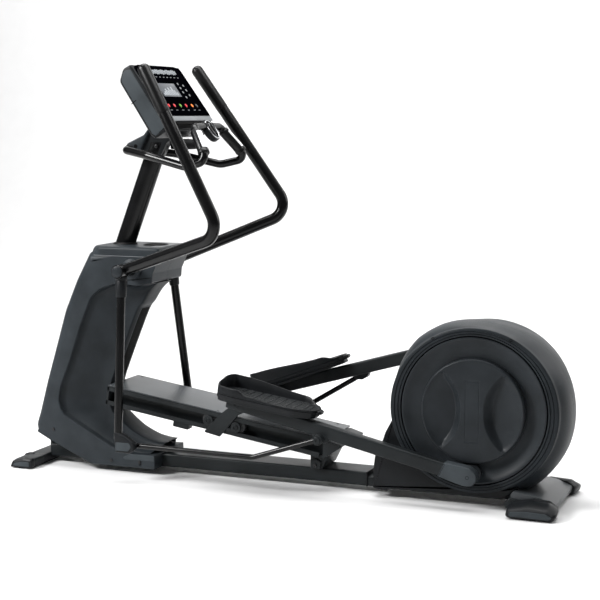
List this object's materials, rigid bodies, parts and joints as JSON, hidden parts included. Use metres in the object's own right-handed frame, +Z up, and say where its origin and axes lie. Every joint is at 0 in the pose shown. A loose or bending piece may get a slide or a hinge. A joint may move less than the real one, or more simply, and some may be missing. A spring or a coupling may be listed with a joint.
{
  "type": "elliptical trainer",
  "caption": "Rear-drive elliptical trainer: sloped roller ramp, rimmed foot pedals on crank-driven arms, swinging handles, fixed handlebar and console on a shrouded tower.",
  "frame": {"origin": "on the floor, in the middle of the overall length and width", "axes": "+X towards the crank housing, +Z up, -Y is the user's left-hand side"},
  "size_m": [2.2, 0.7508, 1.599],
  "materials": {
    "frame_black": "satin powder coat",
    "tube_black": "gloss powder coat",
    "shroud_grey": "fine grained moulding",
    "trim_dark": "matt moulding",
    "disc_grey": "semi-gloss moulding",
    "foam": "closed-cell foam",
    "rubber_black": "matt rubber",
    "steel": "brushed",
    "roller_grey": "nylon",
    "iron": "machined casting",
    "red_key": "gloss",
    "green_key": "gloss",
    "orange_key": "gloss",
    "grey_key": "gloss"
  },
  "bodies": {
    "frame": {"base_frame": "frame_black", "front_stabilizer": "frame_black", "front_end_caps": "trim_dark", "rear_stabilizer": "frame_black", "rear_end_caps": "trim_dark", "levelling_feet": "rubber_black", "tower_column": "frame_black", "rocker_axle": "steel", "shroud_deck": "trim_dark", "mast": "tube_black", "console_bracket": "trim_dark", "static_handlebar": "tube_black", "fixed_grips": "foam", "key_pod": "trim_dark", "console_shell": "trim_dark", "console_panel": "disc_grey", "accessory_tray": "trim_dark", "ramp_frame": "frame_black", "ramp_cover": "disc_grey", "ramp_rear_bracket": "frame_black", "crank_bearings": "steel", "drive_belt": "rubber_black", "frame_bolts": "steel", "left_shroud": "shroud_grey", "right_shroud": "shroud_grey", "left_housing_shell": "shroud_grey", "right_housing_shell": "shroud_grey"},
    "cranks": {"crank_axle": "steel", "crank_pulley": "iron", "left_crank_disc": "disc_grey", "right_crank_disc": "disc_grey", "hub_covers": "disc_grey"},
    "flywheel": {"flywheel": "iron"},
    "transport_wheels": {"transport_wheels": "roller_grey"},
    "left_carriage": {"left_carriage": "frame_black"},
    "left_front_roller": {"left_front_roller": "roller_grey"},
    "left_rear_roller": {"left_rear_roller": "roller_grey"},
    "left_arm": {"left_pedal_arm": "frame_black", "left_pedal": "trim_dark"},
    "left_rocker": {"left_rocker_arm": "tube_black", "left_handle_grip": "foam"},
    "left_stud": {"left_rod_stud": "steel"},
    "left_rod": {"left_push_rod": "frame_black"},
    "left_quick_key": {"left_quick_key": "grey_key"},
    "right_carriage": {"right_carriage": "frame_black"},
    "right_front_roller": {"right_front_roller": "roller_grey"},
    "right_rear_roller": {"right_rear_roller": "roller_grey"},
    "right_arm": {"right_pedal_arm": "frame_black", "right_pedal": "trim_dark"},
    "right_rocker": {"right_rocker_arm": "tube_black", "right_handle_grip": "foam"},
    "right_stud": {"right_rod_stud": "steel"},
    "right_rod": {"right_push_rod": "frame_black"},
    "right_quick_key": {"right_quick_key": "grey_key"},
    "stop_button": {"stop_button": "red_key"},
    "start_button": {"start_button": "red_key"},
    "mode_button": {"mode_button": "green_key"},
    "slower_button": {"slower_button": "red_key"},
    "faster_button": {"faster_button": "orange_key"},
    "fan_button": {"fan_button": "grey_key"}
  },
  "joints": [
    {"name": "crank_spin", "type": "hinge", "parent": "frame", "child": "cranks", "pos_m": [0.772, 0, 0.3515], "axis": [0, 1, 0], "continuous": true},
    {"name": "flywheel_spin", "type": "hinge", "parent": "frame", "child": "flywheel", "pos_m": [0.56, 0, 0.226], "axis": [0, 1, 0], "continuous": true},
    {"name": "transport_wheels_spin", "type": "hinge", "parent": "frame", "child": "transport_wheels", "pos_m": [-1.081, 0, 0.0205], "axis": [0, 1, 0], "continuous": true},
    {"name": "stride", "type": "slide", "parent": "frame", "child": "left_carriage", "axis": [0.9885, 0, -0.1513], "range_m": [-0.194, 0.207]},
    {"name": "left_front_roller_spin", "type": "hinge", "parent": "left_carriage", "child": "left_front_roller", "pos_m": [-0.26581, 0, 0.23718], "axis": [0, 1, 0], "range_deg": [-400, 400]},
    {"name": "left_rear_roller_spin", "type": "hinge", "parent": "left_carriage", "child": "left_rear_roller", "pos_m": [-0.15181, 0, 0.21973], "axis": [0, 1, 0], "range_deg": [-400, 400]},
    {"name": "left_rocker_swing", "type": "hinge", "parent": "frame", "child": "left_rocker", "pos_m": [-0.586, 0, 0.808], "axis": [0, -1, 0], "range_deg": [-16.54, 17.63]},
    {"name": "tilt", "type": "hinge", "parent": "left_carriage", "child": "left_arm", "pos_m": [-0.11781, 0, 0.32545], "axis": [0, -1, 0], "range_deg": [0, 28.8]},
    {"name": "left_stud_turn", "type": "hinge", "parent": "left_arm", "child": "left_stud", "pos_m": [0.21873, 0, 0.22215], "axis": [0, -1, 0], "range_deg": [-17.5, 0.2]},
    {"name": "left_rod_swing", "type": "hinge", "parent": "left_stud", "child": "left_rod", "pos_m": [0.21873, 0, 0.22215], "axis": [0, -1, 0], "range_deg": [-2.8, 2.6]},
    {"name": "left_quick_key_rock", "type": "hinge", "parent": "frame", "child": "left_quick_key", "pos_m": [-0.30483, -0.014, 1.33994], "axis": [0, 1, 0], "range_deg": [-5, 5], "stiffness_Nm_per_rad": 0.5},
    {"name": "right_stride", "type": "slide", "parent": "frame", "child": "right_carriage", "axis": [0.9885, 0, -0.1513], "range_m": [-0.207, 0.194]},
    {"name": "right_front_roller_spin", "type": "hinge", "parent": "right_carriage", "child": "right_front_roller", "pos_m": [-0.25186, 0, 0.23504], "axis": [0, 1, 0], "range_deg": [-400, 400]},
    {"name": "right_rear_roller_spin", "type": "hinge", "parent": "right_carriage", "child": "right_rear_roller", "pos_m": [-0.13786, 0, 0.2176], "axis": [0, 1, 0], "range_deg": [-400, 400]},
    {"name": "right_rocker_swing", "type": "hinge", "parent": "frame", "child": "right_rocker", "pos_m": [-0.586, 0, 0.808], "axis": [0, -1, 0], "range_deg": [-17.63, 16.54]},
    {"name": "right_tilt", "type": "hinge", "parent": "right_carriage", "child": "right_arm", "pos_m": [-0.10386, 0, 0.32332], "axis": [0, -1, 0], "range_deg": [-28.8, 0]},
    {"name": "right_stud_turn", "type": "hinge", "parent": "right_arm", "child": "right_stud", "pos_m": [0.24075, 0, 0.39521], "axis": [0, -1, 0], "range_deg": [-0.2, 15.2]},
    {"name": "right_rod_swing", "type": "hinge", "parent": "right_stud", "child": "right_rod", "pos_m": [0.24075, 0, 0.39521], "axis": [0, -1, 0], "range_deg": [-4.9, 5.2]},
    {"name": "right_quick_key_rock", "type": "hinge", "parent": "frame", "child": "right_quick_key", "pos_m": [-0.30483, 0.014, 1.33994], "axis": [0, 1, 0], "range_deg": [-5, 5], "stiffness_Nm_per_rad": 0.5},
    {"name": "stop_press", "type": "slide", "parent": "frame", "child": "stop_button", "axis": [-0.809, 0, -0.5878], "range_m": [0, 0.0015], "stiffness_N_per_m": 800, "springref_m": -0.0005},
    {"name": "start_press", "type": "slide", "parent": "frame", "child": "start_button", "axis": [-0.809, 0, -0.5878], "range_m": [0, 0.0015], "stiffness_N_per_m": 800, "springref_m": -0.0005},
    {"name": "mode_press", "type": "slide", "parent": "frame", "child": "mode_button", "axis": [-0.809, 0, -0.5878], "range_m": [0, 0.0015], "stiffness_N_per_m": 800, "springref_m": -0.0005},
    {"name": "slower_press", "type": "slide", "parent": "frame", "child": "slower_button", "axis": [-0.809, 0, -0.5878], "range_m": [0, 0.0015], "stiffness_N_per_m": 800, "springref_m": -0.0005},
    {"name": "faster_press", "type": "slide", "parent": "frame", "child": "faster_button", "axis": [-0.809, 0, -0.5878], "range_m": [0, 0.0015], "stiffness_N_per_m": 800, "springref_m": -0.0005},
    {"name": "fan_press", "type": "slide", "parent": "frame", "child": "fan_button", "axis": [-0.809, 0, -0.5878], "range_m": [0, 0.0015], "stiffness_N_per_m": 800, "springref_m": -0.0005}
  ],
  "couplings": [
    {"joint": "flywheel_spin", "follows": "crank_spin", "ratio": 5.0927},
    {"joint": "left_front_roller_spin", "follows": "stride", "rad_per_m": 32.051},
    {"joint": "left_rear_roller_spin", "follows": "stride", "rad_per_m": 32.051},
    {"joint": "left_rocker_swing", "follows": "stride", "rad_per_m": 1.47},
    {"joint": "left_stud_turn", "follows": "tilt", "ratio": -0.6},
    {"joint": "left_rod_swing", "follows": "stride", "rad_per_m": -0.22},
    {"joint": "right_stride", "follows": "stride", "ratio": -1},
    {"joint": "right_front_roller_spin", "follows": "stride", "rad_per_m": -32.051},
    {"joint": "right_rear_roller_spin", "follows": "stride", "rad_per_m": -32.051},
    {"joint": "right_rocker_swing", "follows": "stride", "rad_per_m": -1.47},
    {"joint": "right_tilt", "follows": "tilt", "ratio": -1},
    {"joint": "right_stud_turn", "follows": "tilt", "ratio": 0.52},
    {"joint": "right_rod_swing", "follows": "stride", "rad_per_m": 0.42}
  ]
}
